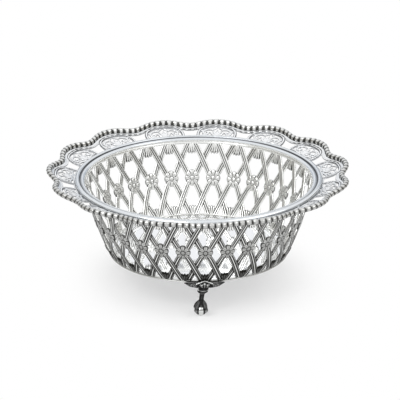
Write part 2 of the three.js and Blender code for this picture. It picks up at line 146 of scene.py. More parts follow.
# The moulding ring's section: radius, height over RING_LEVEL and tone. The outer wire is higher and has
# a dark inner flank
RING_LEVEL = 101.7
RING_INNER = 106.1
RING_OUTER = 115.2
RING_PROFILE = (
    (RING_INNER, 0.0, 0.2),
    (RING_OUTER, 0.0, 0.5),
    (RING_OUTER, 0.35, 0.6),
    (115.15, 0.9, 0.3),
    (114.8, 1.5, 0.0),
    (114.2, 2.1, 0.0),
    (113.4, 2.45, 0.0),
    (112.6, 2.55, 0.0),
    (111.8, 2.35, 0.0),
    (111.3, 1.9, 0.25),
    (110.9, 1.4, 0.85),
    (110.6, 0.85, 0.9),
    (110.0, 0.8, 0.75),
    (109.7, 1.0, 0.5),
    (109.2, 1.3, 0.4),
    (108.6, 1.45, 0.2),
    (107.9, 1.45, 0.0),
    (107.2, 1.25, 0.0),
    (106.6, 0.85, 0.0),
    (106.3, 0.4, 0.15),
    (RING_INNER, 0.3, 0.2),
)

# The border and its arches
BORDER_WIDTH = 23.9
BORDER_RISE = 6.7
BORDER_THICKNESS = 1.2
BORDER_SLOPE = BORDER_RISE / BORDER_WIDTH
BORDER_COLUMNS = 72
BORDER_ROWS = 50
RIM_RADIUS = RING_OUTER + BORDER_WIDTH
SCALLOP_DEPTH = 3.15
SCALLOP_SHARPNESS = 0.12
ARCH_WIDTH = 34
ARCH_HEIGHT = 15.2
ARCH_SQUARENESS = 2.7
ARCH_FOOT = 1.3
ARCH_BAND = 2.9
ARCH_LINE = 1.0  # from the middle of an arch's band to the two lines engraved along it
ARCH_RADIUS = RING_OUTER + ARCH_HEIGHT / 2
COVE = 3.3  # width of the hollow band inside the gadroons
COVE_DEPTH = 0.35
# painted shade in the hollow band inside the gadroons
COVE_SHADE = 0.22
BAND_RELIEF = 0.45
LEAF_RELIEF = 0.55
CUT_TONE = 0.5  # on the border's cut edges and along its leaves
CUT_ROUNDING = 0.22
UNDERSIDE_TONE = 0.4

# The foliage on the right half of an arch: a path on the lobe for each stroke, and its half widths
LEAVES = (
    (((0, 3.0), (0, 7.5), (0, 12.0)), (0.9, 1.5, 0.4)),
    (((0.6, 3.5), (2.4, 7.5), (4.4, 11.2)), (0.7, 1.3, 0.4)),
    (((1.0, 3.0), (4.2, 5.4), (6.8, 8.4)), (0.7, 1.2, 0.4)),
    (((5.2, 12.4), (9.5, 13.0), (13.2, 10.2), (13.0, 6.6), (10.0, 5.6)), (0.5, 1.0, 1.2, 1.0, 0.6)),
    (((9.8, 5.6), (8.4, 7.6), (10.2, 9.2)), (0.8, 1.0, 0.9)),
    (((2.0, 2.2), (7.0, 2.6), (12.0, 4.0), (16.0, 3.4)), (0.9, 1.1, 1.0, 0.6)),
    (((12.8, 9.6), (15.2, 11.0), (16.4, 9.0)), (0.7, 0.9, 0.4)),
    (((5.0, 12.2), (3.4, 14.2), (1.2, 15.4)), (0.7, 0.9, 0.6)),
)
FLOWER_PLACE = 7.6
FLOWER_RADIUS = 1.9

# The gadrooned edge
GADROON_WIDTH = 5.4
GADROON_HEIGHT = 2.9
GADROON_DROP = 1.8
GADROON_STEPS = 14
# Degrees round the wire's section, from the inner end over the top and down the outside
GADROON_TURNS = (178, 155, 132, 110, 88, 66, 44, 22, 0, -22, -42)
GADROON_NOTCH = 0.42  # how much narrower the inner ends are
FURROW_SHARE = 0.6  # of a gadroon's height, left in the furrows
FURROW_TONE = 0.95
GADROON_DARKEST = 0.82
GADROON_OUTSIDE_SHADE = 0.18  # painted shade added on the wire's outer side
EDGE_SEAT = 0.3  # of the wire's own underside over the border's top
EDGE_REBATE = 2.2
EDGE_LIP = 1.7
EDGE_UNDER_TONE = 0.8
EDGE_CLEARANCE = 0.02

# The crests
CREST_INNER = 84.9
CREST_WIDTH = 37
CREST_DEPTH = 4.5
WING = CREST_WIDTH / 2
WING_TOP = BAND_TOP - 1.2
EAVE = 7.25
ROOF_PEAK = BAND_TOP + 2.05
CREST_BODY = 1.05  # thickness under the relief
CREST_RELIEF = 0.7
CREST_SCALLOPS = 0.35
CREST_ROUNDING = 0.5
CREST_GROUND_TONE = 1.32  # tones are held to 1, so only high relief comes out bright
CREST_POLISH = 0.8
FAN_ROOT = 25.0
FAN_MIDDLE = 27.5
FAN_RIBS = 5.5
FAN_FADE = (6.8, 5.6)  # from its end in to its full height
SCROLL_PLACE = 10.4
SCROLL_LEVEL = 29.4
SCROLL_FADE = (3.6, 2.6)
BEADS = ((0.0, 31.6, 0.95), (-2.5, 30.5, 0.75), (2.5, 30.5, 0.75))  # place, level and radius
BEAD_SIDES = 12
BEAD_BED = 1.6  # of the beads' middles over the crest's back
CHEVRON_BED = 1.4
CHEVRON_RELIEF = 1.2
CHEVRON_HALF_WIDTH = 0.6
CHEVRON_DROP = 0.35  # of its middle under the roof's edge

# The leg castings. The block's steps are given by half width, half depth, bottom and top
LEG_RADIUS = 82.5
LEG_LEAN = 3.4
LEG_KICK = 1.2
LEG_STEPS = 40
HEAD_LEVEL = 31.5
BLOCK_SHIFT = 1.0
BLOCK_FRONT = 85.0
BLOCK_STEPS = ((4.9, 3.6, 26.2, 31.4), (4.7, 3.5, 24.5, 26.5))
BALL_RADIUS = 5.3
BALL_LEVEL = 4.9
TALON_SIDES = 16
CAST_VOXEL = 0.22
CAST_SOFTENING = 2
HOLLOW_DEPTH = 0.012  # how far under its neighbours' mean a point is fully in a hollow
HOLLOW_ROUNDS = 3
HOLLOW_TONE = 0.55
STEP_POLISH = 0.95
COLLAR_TONE = 0.35
TALON_SHADE = 0.9
TALON_FADE = (26, 16)  # degrees round the ball from a talon, over which its shade comes in
PALM_LEVEL = BALL_LEVEL + 0.36 * BALL_RADIUS  # of the dark line under the palm

# Radius and height down the leg, with its collar and its palm
LEG_PROFILE = (
    (0.0, 31.2),
    (4.0, 31.2),
    (4.0, 24.5),
    (4.6, 24.2),
    (4.85, 23.9),
    (4.85, 22.9),
    (4.6, 22.6),
    (3.0, 22.3),
    (3.2, 21.9),
    (3.2, 21.5),
    (2.7, 21.1),
    (2.4, 20.2),
    (2.25, 18.4),
    (2.2, 16.2),
    (2.3, 14.8),
    (2.9, 13.4),
    (3.8, 12.0),
    (4.4, 10.4),
    (4.1, 9.0),
    (2.4, 7.8),
    (0.0, 7.8),
)
COLLAR_SPAN = (22.3, 24.3)
STEP_LEVEL = 24.6  # of the bright edge under the block

# A talon's line, out and up from the ball's middle in ball radii, and its own radius in millimetres
TALON_LINE = (
    (0.19, 1.72, 1.3),
    (0.5, 1.42, 1.5),
    (0.8, 1.08, 1.7),
    (1.02, 0.78, 1.8),
    (1.2, 0.48, 1.6),
    (1.24, 0.24, 1.75),
    (1.13, 0.02, 1.3),
    (1.02, -0.14, 0.95),
    (0.93, -0.3, 0.4),
)

# Curves


def smoothstep(start, end, value):
    """0 up to start, 1 from end on, and a smooth rise between. start may also lie above end."""
    share = np.clip((value - start) / (end - start), 0, 1)
    return share * share * (3 - 2 * share)


def hump(value, middle, width):
    """1 at the middle, falling smoothly to 0 on both sides."""
    return np.exp(-(((value - middle) / width) ** 2))


def catmull(values, share):
    """A smooth curve through values at whole steps."""
    padded = np.concatenate([[2 * values[0] - values[1]], values, [2 * values[-1] - values[-2]]])
    step = np.clip(share.astype(int), 0, len(values) - 2)
    t = share - step
    p0, p1, p2, p3 = (padded[step + k] for k in range(4))
    square = 2 * p0 - 5 * p1 + 4 * p2 - p3
    cube = 3 * (p1 - p2) + p3 - p0
    return 0.5 * (2 * p1 + (p2 - p0) * t + square * t**2 + cube * t**3)


def smooth_line(points, samples):
    """Samples of a smooth curve through points of any dimension."""
    points = np.asarray(points, float)
    share = np.linspace(0, len(points) - 1, samples)
    return np.stack([catmull(points[:, k], share) for k in range(points.shape[1])], -1)


def at_angle(radius, angle, height):
    """Points by their radius, their angle about Z and their height."""
    return np.stack([radius * np.cos(angle), radius * np.sin(angle), height + 0 * angle], -1)


def even_angles(count):
    """Angles round a full turn in even steps, one to a row."""
    return (np.arange(count) * FULL_TURN / count)[:, None]


# Meshes


class Shape:
    """Points in millimetres, faces, and a tone for each point: 0 on bright metal, 1 in a dark cut or in
    deep painted shade.
    """

    def __init__(self):
        self.points = []
        self.faces = []
        self.tones = []
        self.size = 0

    def add(self, points, faces, tones):
        points = np.asarray(points, float).reshape(-1, 3)
        self.points.append(points)
        self.tones.append(np.broadcast_to(np.asarray(tones, float).ravel(), len(points)))
        self.faces.extend([tuple(int(i) + self.size for i in face) for face in faces])
        self.size += len(points)

    def loft(self, sections, tones, ring=False):
        """Skins closed sections, an array of (section, point, xyz), capped unless they form a ring."""
        count, width, _ = sections.shape
        index = np.arange(count * width).reshape(count, width)
        if ring:
            index = np.concatenate([index, index[:1]])
        across = np.roll(index, -1, axis=1)
        quads = np.stack([index[:-1], index[1:], across[1:], across[:-1]], -1)
        faces = quads.reshape(-1, 4).tolist()
        if not ring:
            faces.append(index[0].tolist())
            faces.append(index[-1][::-1].tolist())
        self.add(sections, faces, tones)

    def skin(self, front, back, front_tones, back_tones, ring=False):
        """Skins a form through its two faces, each an array of (section, point, xyz)."""
        sections = np.concatenate([front, back[:, ::-1]], axis=1)
        tones = np.concatenate([front_tones, back_tones[:, ::-1]], axis=1)
        self.loft(sections, tones, ring=ring)

    def turned(self, rows, steps):
        """Turns a closed profile of (radius, height, tone) rows about Z."""
        rows = np.asarray(rows, float)
        sections = at_angle(rows[None, :, 0], even_angles(steps), rows[None, :, 1])
        self.loft(sections, np.tile(rows[:, 2], steps), ring=True)


# Degrees between faces from which an edge looks sharp, the second on finely rounded pieces
CREASED = 40
ROUNDED = 60


def to_mesh(name, shape, sharp=CREASED, **more):
    """A closed mesh in metres with outward faces, and its tones and any more values on its points."""
    mesh = bpy.data.meshes.new(name)
    points = np.concatenate(shape.points) * MM
    mesh.from_pydata(points.tolist(), [], shape.faces)
    for key, values in {"tone": np.concatenate(shape.tones), **more}.items():
        held = mesh.attributes.new(key, "FLOAT", "POINT")
        held.data.foreach_set("value", np.asarray(values, np.float32))
    work = bmesh.new()
    work.from_mesh(mesh)
    bmesh.ops.remove_doubles(work, verts=work.verts, dist=1e-6)
    bmesh.ops.recalc_face_normals(work, faces=work.faces)
    work.to_mesh(mesh)
    work.free()
    mesh.shade_smooth()
    mesh.set_sharp_from_angle(angle=math.radians(sharp))
    return mesh


def new_object(name, data):
    """An object in the scene that shows a mesh, a light or a camera."""
    made = bpy.data.objects.new(name, data)
    bpy.context.scene.collection.objects.link(made)
    return made


def add_piece(name, shape, material, slot, *nodes, sharp=CREASED, **more):
    """Adds a shape as a visible piece that stands in for nodes of the model."""
    mesh = to_mesh(name, shape, sharp, **more)
    mesh.materials.append(material)
    piece = new_object(name, mesh)
    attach(piece, BODY)
    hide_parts(*nodes)


# The wall's curved sheet

curve_share = np.linspace(0, 1, 401)


def wall_curve(start, control, end):
    """One coordinate of the wall's outer face, for each curve_share."""
    left = 1 - curve_share
    return left**2 * start + 2 * left * curve_share * control + curve_share**2 * end


curve_radius = wall_curve(BASE_RADIUS, BASE_RADIUS + BELLY_SWELL, TOP_RADIUS)
curve_height = wall_curve(FOOT_LEVEL, FOOT_LEVEL + BELLY_RISE, TOP_LEVEL)
curve_along = np.concatenate([[0], np.cumsum(np.hypot(np.diff(curve_radius), np.diff(curve_height)))])
curve_slope_r = np.gradient(curve_radius, curve_along)
curve_slope_z = np.gradient(curve_height, curve_along)
WALL_LENGTH = float(curve_along[-1])
NECK_LOW = WALL_LENGTH - NECK_WIRE
TRELLIS_HEIGHT = WALL_LENGTH - FOOT_STRIP - NECK_STRIP
MIDDLE = FOOT_STRIP + TRELLIS_HEIGHT / 2 + CROSSING_LIFT
MIDDLE_RADIUS = float(np.interp(MIDDLE, curve_along, curve_radius))
BAR_SLOPE = (BAR_RUN - 2 * BAR_JOG) / TRELLIS_HEIGHT


def on_wall(angle, along, lift):
    """A point by its angle, its distance up the wall, and its height over the middle of the sheet."""
    curves = (curve_radius, curve_height, curve_slope_r, curve_slope_z)
    radius, height, slope_r, slope_z = (np.interp(along, curve_along, curve) for curve in curves)
    off = lift - WALL_THICKNESS / 2
    return at_angle(radius + slope_z * off, angle, height - slope_r * off)


def loft_both_faces(shape, angle, along, lift, outer, inner, ring=False):
    """Skins a form that stands alike on both faces of the wall, with the tones of each face."""
    front = on_wall(angle, along, lift)
    back = on_wall(angle, along, -lift)
    shape.skin(front, back, outer, inner, ring=ring)


def outer_tone(along):
    """Oxide and painted shade on the wall's outer face. The painted shade grows towards the foot, where
    the face reflects the shaded floor.
    """
    return OUTER_SHADE_AND_OXIDE - OUTER_FADE * smoothstep(0.0, OUTER_REACH * WALL_LENGTH, along)


def inner_tone(along):
    """A darker tone on the inner face, low down beside the floor."""
    return INNER_DARKENING * (1 - smoothstep(0.0, INNER_REACH * WALL_LENGTH, along))


def bar_offset(rise):
    """Angle from a column to the middle of its bar that climbs to the right."""
    return BAR_SLOPE * rise + BAR_JOG * np.tanh(rise / JOG_BLEND)


def reed_section(reed, edge_shade, side_tone):
    """Three reeds side by side on one face of a bar, as places from -1 to 1, heights and tones."""
    places, heights, tones = [], [], []
    for side in (-1, 0, 1):
        for step, tone in reed:
            places.append((2 * side + step) / 3)
            heights.append(REED_TOP - REED_CUT * abs(step) ** 3)
            tones.append(max(tone, abs(side) * side_tone))
    places.append(1.0)
    heights.append(heights[0])
    # The edges take painted shade
    by_edge = max(side_tone, 0.5 * edge_shade)
    tones[:2] = edge_shade, by_edge
    tones[-1] = by_edge
    tones.append(edge_shade)
    return np.array(places), np.array(heights), np.array(tones)


def trellis_bars(climb):
    """The bars that climb to the right (1) or left (-1), one for each column.

    Above the rosettes the bars that climb to the right lie on top, and below them the others do."""
    shape = Shape()
    rise = np.linspace(BAR_START - MIDDLE, NECK_LOW - MIDDLE + BAR_OVERLAP, BAR_STATIONS)[:, None]
    middle = bar_offset(rise)
    radius = np.interp(MIDDLE + rise, curve_along, curve_radius)
    other = np.sign(rise) * COLUMN_PITCH - middle
    lean = math.cos(math.atan(BAR_SLOPE * MIDDLE_RADIUS))

    def face(section, wall_darkening):
        """Angles, heights and tones over one face, lower and darker where the bar passes below."""
        places, heights, cuts = section
        across = middle + places[None, :] * BAR_WIDTH / 2 / radius
        clear = (np.abs(across - other) * radius - BAR_WIDTH / 2) * lean
        below = (1 - smoothstep(0.0, CROSSING_BLEND, clear)) * (np.sign(rise) == -climb)
        tones = np.clip(cuts[None, :] + CROSSING_SHADE * below + wall_darkening, 0, 1)
        return across, heights[None, :] * (1 - CROSSING_DIP * below), tones

    # The outer face takes painted shade on its edges, and a share of the wall's oxide and painted shade
    outer_section = reed_section(OUTER_REED, EDGE_SHADE, SIDE_REED_TONE)
    outer, front_lift, front_tones = face(outer_section, BAR_SHADE_AND_OXIDE * outer_tone(MIDDLE + rise))
    inner_section = reed_section(INNER_REED, 0.0, 0.0)
    inner, back_lift, back_tones = face(inner_section, inner_tone(MIDDLE + rise))
    for start in COLUMN_ANGLES:
        front = on_wall(start + climb * outer, MIDDLE + rise, front_lift)
        back = on_wall(start + climb * inner, MIDDLE + rise, -back_lift)
        shape.skin(front, back, front_tones, back_tones)
    return shape


def wall_strips():
    """The plain strips at foot and neck, with a fine line round the neck and solder at the floor."""
    shape = Shape()
    line = WALL_LENGTH - NECK_LINE
    # Distance up the wall, height over the middle of the sheet, and tone
    neck = [
        (NECK_LOW - 0.3, 0.42, 0.3),
        (NECK_LOW + 0.2, 0.66, 0.0),
        (line - 0.25, 0.68, 0.0),
        (line, 0.56, 0.45),
        (line + 0.25, 0.68, 0.0),
        (WALL_LENGTH - 0.1, 0.68, 0.1),
    ]
    foot = [
        (0.05, 0.66, 0.3),
        (FOOT_STRIP - 0.05, 0.66, 0.2),
        (FOOT_STRIP + 0.25, 0.42, 0.4),
    ]
    for profile in (neck, foot):
        rows = np.array(profile + [(along, -lift, tone) for along, lift, tone in reversed(profile)])
        sections = on_wall(even_angles(ROUND_STEPS), rows[None, :, 0], rows[None, :, 1])
        shape.loft(sections, np.tile(rows[:, 2], ROUND_STEPS), ring=True)
    solder = [(83.0, 33.64, 0.1), (81.1, 33.62, 0.0), (81.9, 33.8, 0.0), (82.9, 34.1, 0.1)]
    shape.turned(solder, ROUND_STEPS)
    return shape


def rosettes():
    """A flower of eight petals on each face of the wall, where the bars of a column meet."""
    shape = Shape()
    turns = even_angles(ROSETTE_STEPS)
    petal = np.abs(np.cos(turns * PETALS / 2))
    rings = np.array(ROSETTE_RINGS)[None, :]
    boss = BOSS_HEIGHT * np.sqrt(np.clip(1 - (rings / BOSS_REACH) ** 2, 0, 1))
    bed = np.interp(rings, *zip(*ROSETTE_BED))
    cleft = (1 - petal) ** 3 * smoothstep(0.3, 0.6, rings)
    vein = smoothstep(0.93, 1.0, petal) * smoothstep(0.35, 0.5, rings) * smoothstep(0.85, 0.7, rings)
    lift = bed + boss - CLEFT_DEPTH * cleft - VEIN_DEPTH * vein
    seeds = hump(rings, SEED_PLACE, SEED_WIDTH) * (0.45 + 0.55 * (1 - petal))
    rim = 0.45 * smoothstep(0.86, 1.0, rings)
    centre = 0.25 * smoothstep(BOSS_REACH, 0.0, rings)
    cuts = CLEFT_TONE * cleft + VEIN_TONE * vein + SEED_TONE * seeds
    inner = np.clip(0.1 + centre + cuts + rim, 0, 1)
    reach = (1 - PETAL_TIP + PETAL_TIP * petal**0.6) * rings
    aside = np.cos(turns) * reach * ROSETTE_WIDTH / 2 / MIDDLE_RADIUS
    along = MIDDLE + ROSETTE_LIFT + np.sin(turns) * reach * ROSETTE_HEIGHT / 2
    # The outer face takes the wall's oxide and painted shade
    outer = np.clip(inner + outer_tone(along) + 0.06, 0, 1)
    for start in COLUMN_ANGLES:
        loft_both_faces(shape, start + aside, along, lift, outer, inner, ring=True)
    return shape


def husks():
    """Leaf fans that stand on the foot strip and hang from the neck, between the ends of the bars."""
    shape = Shape()
    side = np.linspace(-1, 1, 25)[:, None]
    reach = np.array([0.0, 0.3, 0.55, 0.75, 0.9, 1.0])[None, :]
    lobe = np.abs(np.cos(side * HUSK_LOBES * math.pi / 2))
    length = HUSK_LENGTH * (1 - HUSK_NOTCH + HUSK_NOTCH * lobe**0.6)
    crown = np.interp(reach, [0, 0.6, 0.9, 1.0], [0.75, 1.05, 1.0, 0.55])
    lift = crown + HUSK_RIDGE * lobe * np.interp(reach, [0, 0.4, 0.9, 1.0], [0.3, 1, 0.8, 0.1])
    veins = (1 - lobe) ** 1.6 * smoothstep(0.05, 0.6, reach)
    tones = np.clip(0.05 + 0.9 * veins + 0.5 * smoothstep(0.8, 1.0, reach), 0, 1)
    distance = HUSK_ROOT + reach * length
    aside = distance * np.sin(side * HUSK_SPREAD) / np.cos(HUSK_SPREAD)
    rise = distance * np.cos(side * HUSK_SPREAD) - HUSK_ROOT
    # Where a row springs from, which way, its length, and its share of the outer face's oxide and
    # painted shade
    for base, up, longer, wall_darkening in ((FOOT_STRIP, 1, 1.0, 1.2), (NECK_LOW, -1, 1.12, 0.0)):
        along = base + up * longer * rise
        radius = np.interp(along, curve_along, curve_radius)
        outer = np.clip(tones + wall_darkening * outer_tone(along), 0, 1)
        inner = np.clip(tones + 0.6 * inner_tone(along), 0, 1)
        for start in COLUMN_ANGLES:
            loft_both_faces(shape, start + aside / radius, along, lift, outer, inner)
    return shape


# The base band, the floor and the moulding ring


def base_band():
    """A rounded wire with a ledge inside it that carries the floor. It is darker at the crests."""
    shape = Shape()
    low, top, outer = FOOT_HEIGHT, BAND_TOP, BAND_RADIUS
    rows = [
        (LEDGE_RADIUS, low, 0.6),
        (outer - 0.6, low, 0.6),
        (outer - 0.15, low + 0.2, 0.5),
        (outer, low + 0.6, 0.3),
        (outer - 0.1, low + 1.0, 0.3),
        (outer - 0.4, top, 0.6),
        (BAND_SEAT, top, 0.7),
        (BAND_SEAT, low + LEDGE_HEIGHT, 0.7),
        (LEDGE_RADIUS, low + LEDGE_HEIGHT, 0.6),
    ]
    shape.turned(rows, ROUND_STEPS)
    points = shape.points[0]
    from_front = np.arctan2(points[:, 1], points[:, 0]) - FRONT
    half_sector = math.pi / FEET
    from_foot = np.abs((from_front + half_sector) % (2 * half_sector) - half_sector) * BAND_RADIUS
    at_crest = smoothstep(WING, 0.8 * WING, from_foot)
    shape.tones[0] = np.clip(shape.tones[0] + 0.5 * at_crest, 0, 1)
    return shape


def floor_plate():
    """A plain disc with a soft edge and one fine line turned near it."""
    shape = Shape()
    edge, low, top = FLOOR_RADIUS, FLOOR_LOW, FLOOR_TOP
    line = edge - FLOOR_LINE
    rows = [
        (0.0, low, 0.2),
        (edge - 0.3, low, 0.3),
        (edge, low + 0.3, 0.5),
        (edge, top - 0.3, 0.3),
        (edge - 0.3, top, 0.1),
        (line + 0.4, top, 0.0),
        (line, top - 0.1, 0.15),
        (line - 0.4, top, 0.0),
        (line - 0.6, top, 0.0),  # keeps the shading inside the line flat
        (0.0, top, 0.0),
    ]
    shape.turned(rows, ROUND_STEPS)
    return shape


def moulding_ring():
    """Two round wires with a narrow dark groove between them."""
    shape = Shape()
    rows = [(radius, RING_LEVEL + height, tone) for radius, height, tone in RING_PROFILE]
    shape.turned(rows, ROUND_STEPS)
    return shape


# The border and its gadrooned edge


def edge_radius(angle):
    """The scalloped outline, with a lobe's peak at angle 0."""
    wave = np.cos(LOBES * angle) - SCALLOP_SHARPNESS * np.cos(2 * LOBES * angle)
    return RIM_RADIUS + SCALLOP_DEPTH * wave


def border_top(radius):
    return TOP_LEVEL + BORDER_RISE * (radius - RING_OUTER) / BORDER_WIDTH


def gadroon_edge():
    """A wire of small rounded lobes across the rim, with dark notches between their inner ends."""
    shape = Shape()
    steps = GADROONS * GADROON_STEPS
    angle = even_angles(steps)
    place = 2 * ((np.arange(steps) % GADROON_STEPS) / GADROON_STEPS)[:, None] - 1
    turn = np.array(GADROON_TURNS)[None, :]
    slant = np.radians(turn)
    wide = 1.0 - GADROON_NOTCH * smoothstep(95, 170, turn)
    lobe = np.sqrt(np.clip(1 - (place / wide) ** 2, 0, 1))
    scale = FURROW_SHARE + (1 - FURROW_SHARE) * lobe
    half = GADROON_WIDTH / 2
    reach = np.where(turn < 90, scale, 0.9 + 0.1 * scale)  # the inner ends stay in line
    inward = half - half * reach * np.cos(slant)
    drop = np.where(np.sin(slant) > 0, GADROON_HEIGHT - EDGE_SEAT, GADROON_DROP)
    rise = EDGE_SEAT + drop * scale * np.sin(slant)
    # Painted shade on the wire's outer side
    outer_shade = GADROON_OUTSIDE_SHADE * smoothstep(100, 40, turn)
    tone = np.clip(0.2 + FURROW_TONE * (1 - lobe) ** 1.1 + outer_shade, 0, GADROON_DARKEST)
    outer = edge_radius(angle) - EDGE_CLEARANCE
    level = border_top(outer)
    lip = np.full_like(angle, EDGE_LIP)
    seat = np.full_like(angle, EDGE_REBATE)
    inward = np.concatenate([inward, lip, seat], axis=1)
    on_border = level - BORDER_SLOPE * inward + EDGE_SEAT
    height = np.concatenate([level + rise, level - GADROON_DROP, on_border[:, -1:]], axis=1)
    height[:, 0] = on_border[:, 0]
    dark = np.full_like(angle, EDGE_UNDER_TONE)
    tone = np.concatenate([tone, dark, dark], axis=1)
    shape.loft(at_angle(outer - inward, FRONT + angle, height), tone, ring=True)
    return shape


def stroke(x, y, path, widths):
    """How far points lie inside a tapering stroke along a smooth path. Negative outside."""
    line = smooth_line(path, 24)
    half = np.interp(np.linspace(0, 1, len(line)), np.linspace(0, 1, len(widths)), widths)
    inside = np.full(x.shape, -np.inf)
    for (line_x, line_y), width in zip(line, half):
        inside = np.maximum(inside, width - np.hypot(x - line_x, y - line_y))
    return inside


def arch_distance(x, y):
    """Signed distance from the middle line of an arch's band, positive outside it."""
    wide = ARCH_WIDTH / 2 + ARCH_BAND / 2
    tall = ARCH_HEIGHT + ARCH_BAND / 2
    rise = np.maximum(y - ARCH_FOOT, 0)
    power = ARCH_SQUARENESS
    ratio = ((np.abs(x) / wide) ** power + (rise / tall) ** power) ** (1 / power)
    return (ratio - 1) * np.hypot(x, rise) / np.maximum(ratio, 0.05)


def foliage(x, y):
    """The foliage of an arch, alike on both halves: how far inside it a point lies, and its dome."""
    inside = FLOWER_RADIUS - np.hypot(x, y - FLOWER_PLACE)
    dome = np.clip(inside / FLOWER_RADIUS, 0, 1)
    for path, widths in LEAVES:
        leaf = stroke(np.abs(x), y, path, widths)
        inside = np.maximum(inside, leaf)
        dome = np.maximum(dome, np.clip(leaf / max(widths), 0, 1))
    return inside, dome


def border_fields(x, y):
    """Over one lobe: how far inside the metal a point lies, its relief and its tone, and its distance
    from the middle of the arch's band."""
    rim = edge_radius(x / ARCH_RADIUS) - RING_OUTER - y
    arch = arch_distance(x, y)
    band = ARCH_BAND / 2 - np.abs(arch)
    strip = ARCH_FOOT - y
    cove = COVE + GADROON_WIDTH - rim
    leaf, dome = foliage(x, y)
    leaf = np.where(arch < 0, leaf, -1.0)
    metal = np.maximum.reduce([band, strip, cove, leaf])
    metal = np.minimum(metal, rim - EDGE_REBATE)
    hollow = smoothstep(0.0, 0.9, cove) * smoothstep(3.2, 2.2, cove)
    relief = LEAF_RELIEF * dome * (arch < -ARCH_BAND / 2)
    relief = np.maximum(relief, BAND_RELIEF * smoothstep(0.0, 0.5, band)) - COVE_DEPTH * hollow
    by_cut = CUT_TONE * smoothstep(0.5, 0.0, metal)
    by_leaf = CUT_TONE * smoothstep(0.5, 0.0, dome) * (leaf > 0)
    # Dark cut edges and leaf outlines, and painted shade in the cove
    tone = np.maximum.reduce([by_cut, COVE_SHADE * hollow, by_leaf])
    return metal, relief, tone, arch


def border():
    """One pierced lobe drawn on a fine grid, cut along its outline, and repeated round the bowl.

    The second result is each point's distance from the middle of its arch's band."""
    half = LOBE_PITCH / 2 * ARCH_RADIUS
    low = TOP_RADIUS + SEAM_GAP - RING_OUTER
    high = edge_radius(0.0) - RING_OUTER - EDGE_REBATE + 0.6
    across = np.linspace(-half, half, BORDER_COLUMNS + 1)
    outward = np.linspace(low, high, BORDER_ROWS + 1)
    x, y = np.meshgrid(across, outward)
    points, faces, edges = cut_sheet(x, y, border_fields(x, y)[0])
    metal, relief, tone, arch = border_fields(points[:, 0], points[:, 1])
    count = len(points)
    sheet = faces + [[i + count for i in reversed(face)] for face in faces]
    sheet += [[b, a, a + count, b + count] for a, b in edges]
    tones = np.concatenate([tone, np.maximum(tone, UNDERSIDE_TONE)])
    radius = RING_OUTER + points[:, 1]
    rounding = CUT_ROUNDING * smoothstep(0.45, 0.0, metal)
    upper = border_top(radius) + relief - rounding
    under = border_top(radius) - BORDER_THICKNESS + rounding
    shape = Shape()
    for lobe in range(LOBES):
        turn = FRONT + lobe * LOBE_PITCH + points[:, 0] / ARCH_RADIUS
        both = [at_angle(radius, turn, upper), at_angle(radius, turn, under)]
        shape.add(np.concatenate(both), sheet, tones)
    return shape, np.tile(arch, 2 * LOBES)


SHORTEST_CUT = 0.02  # of a grid line, at either end


def cut_sheet(x, y, inside):
    """Cuts a grid along the line where inside is 0. Gives points, faces and all free edges."""
    rows, columns = x.shape
    points, faces, edges, known = [], [], [], {}

    def numbered(key, place):
        if key not in known:
            known[key] = len(points)
            points.append(place)
        return known[key]

    def corner(c):
        return numbered(c, (x[c], y[c]))

    def crossing(a, b):
        share = np.clip(inside[a] / (inside[a] - inside[b]), SHORTEST_CUT, 1 - SHORTEST_CUT)
        place = (x[a] + share * (x[b] - x[a]), y[a] + share * (y[b] - y[a]))
        return numbered((min(a, b), max(a, b)), place)

    for i in range(rows - 1):
        for j in range(columns - 1):
            ring = [(i, j), (i, j + 1), (i + 1, j + 1), (i + 1, j)]
            solid = [inside[c] > 0 for c in ring]
            if all(solid):
                faces.append([corner(c) for c in ring])
                continue
            if not any(solid):
                continue
            pieces = [[0, 1, 2, 3]]
            if solid[0] == solid[2] and solid[1] == solid[3]:
                pieces = [[0, 1, 2], [0, 2, 3]] if solid[0] else [[0, 1, 3], [1, 2, 3]]
            for piece in pieces:
                loop, cuts = [], []
                for k, here in enumerate(piece):
                    after = piece[(k + 1) % len(piece)]
                    if solid[here]:
                        loop.append(corner(ring[here]))
                    if solid[here] != solid[after]:
                        cut = crossing(ring[here], ring[after])
                        loop.append(cut)
                        cuts.append((not solid[here], cut))
                if len(loop) > 2:
                    faces.append(loop)
                if len(cuts) == 2:
                    # From where the loop leaves the metal to where it comes back
                    edges.append([cut for _, cut in sorted(cuts)])
    ends = (y[0, 0], y[-1, 0])
    for face in faces:
        for a, b in zip(face, face[1:] + face[:1]):
            level = points[a][1]
            if level == points[b][1] and level in ends:
                edges.append((a, b))
    return np.array(points), faces, edges


# The legs


def leg_shift(z):
    """The casting's sideways lean and outward kick at a height."""
    share = np.clip((HEAD_LEVEL - z) / (HEAD_LEVEL - BALL_RADIUS), 0, 1)
    return LEG_LEAN * np.sin(share * math.pi / 2), LEG_RADIUS + LEG_KICK * share**2


def add_tube(shape, spine, radii):
    """A closed tube through spine points in one upright plane, with a radius at each."""
    heading = np.gradient(spine, axis=0)
    heading /= np.linalg.norm(heading, axis=1)[:, None]
    aside = np.cross(spine[-1] - spine[0], spine[len(spine) // 2] - spine[0])
    aside = np.broadcast_to(aside / np.linalg.norm(aside), spine.shape)
    lift = np.cross(aside, heading)
    turn = even_angles(TALON_SIDES)[None]
    ring = np.cos(turn) * aside[:, None] + np.sin(turn) * lift[:, None]
    shape.loft(spine[:, None] + radii[:, None, None] * ring, 0.0)


